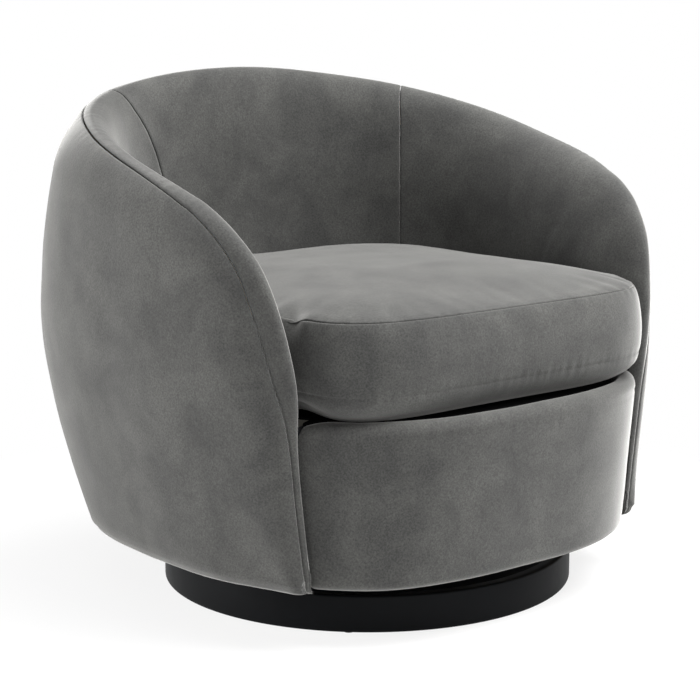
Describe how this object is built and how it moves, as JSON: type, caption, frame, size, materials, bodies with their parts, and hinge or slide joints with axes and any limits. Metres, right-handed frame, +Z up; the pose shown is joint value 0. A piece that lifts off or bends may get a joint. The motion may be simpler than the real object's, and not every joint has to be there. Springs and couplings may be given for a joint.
{
  "type": "swivel barrel chair",
  "caption": "Swivel barrel lounge chair with a velvet shell, rolled rim sloping into the arms, a loose crowned seat cushion and a low round black plinth",
  "frame": {"origin": "on the floor under the middle of the whole chair, 33 mm behind the swivel axis", "axes": "+Z up, -Y towards the front of the seat, +X to the right seen from the front"},
  "size_m": [0.828, 0.747, 0.708],
  "materials": {
    "black_lacquer": "satin black lacquer on board",
    "nylon": "matt moulded nylon",
    "zinc_steel": "zinc plated pressed steel",
    "plywood": "bare birch plywood",
    "lining": "black woven lining cloth",
    "timber": "bare hardwood",
    "spring_steel": "dark oiled spring wire",
    "felt": "grey needled felt",
    "hardboard": "brown hardboard",
    "velvet": "mid grey velvet with a soft nap",
    "foam": "open-cell upholstery foam",
    "zip_nylon": "grey nylon coil zip"
  },
  "bodies": {
    "base": {"plinth_ring": "black_lacquer", "plinth_board": "black_lacquer", "swivel_lower_plate": "zinc_steel", "glide_1": "nylon", "glide_2": "nylon", "glide_3": "nylon", "glide_4": "nylon", "swivel_lower_screw_1": "zinc_steel", "swivel_lower_screw_2": "zinc_steel", "swivel_lower_screw_3": "zinc_steel", "swivel_lower_screw_4": "zinc_steel"},
    "ball_cage": {"swivel_ball_cage": "zinc_steel"},
    "chair": {"swivel_spacer_board": "black_lacquer", "swivel_upper_plate": "zinc_steel", "front_clip_strip": "zinc_steel", "back_clip_strip": "zinc_steel", "swivel_upper_screw_1": "zinc_steel", "swivel_upper_screw_2": "zinc_steel", "swivel_upper_screw_3": "zinc_steel", "swivel_upper_screw_4": "zinc_steel", "base_board": "plywood", "seat_panel_left": "plywood", "seat_panel_right": "plywood", "front_panel": "plywood", "dust_cover": "lining", "deck_cloth": "lining", "back_rail": "timber", "front_rail": "timber", "rim_timber": "timber", "front_post_left": "timber", "front_post_right": "timber", "side_post_left": "timber", "side_post_right": "timber", "back_post_left": "timber", "back_post_right": "timber", "spring_1": "spring_steel", "spring_2": "spring_steel", "spring_3": "spring_steel", "spring_4": "spring_steel", "spring_5": "spring_steel", "deck_pad": "felt", "side_panel_left": "hardboard", "side_panel_right": "hardboard", "back_panel": "hardboard", "outside_cover": "velvet", "inside_arm_cover_left": "velvet", "inside_arm_cover_right": "velvet", "inside_back_cover": "velvet", "rail_cover": "velvet", "cushion_case": "velvet", "arm_foam_left": "foam", "arm_foam_right": "foam", "back_foam": "foam", "rail_foam": "foam", "cushion_core": "foam", "cushion_zip": "zip_nylon"}
  },
  "joints": [
    {"name": "swivel", "type": "hinge", "parent": "base", "child": "chair", "pos_m": [0, -0.03254, 0.0566], "axis": [0, 0, 1], "continuous": true},
    {"name": "ball_cage_turn", "type": "hinge", "parent": "base", "child": "ball_cage", "pos_m": [0, -0.03254, 0.0566], "axis": [0, 0, 1], "continuous": true}
  ],
  "couplings": [
    {"joint": "ball_cage_turn", "follows": "swivel", "ratio": 0.5}
  ]
}
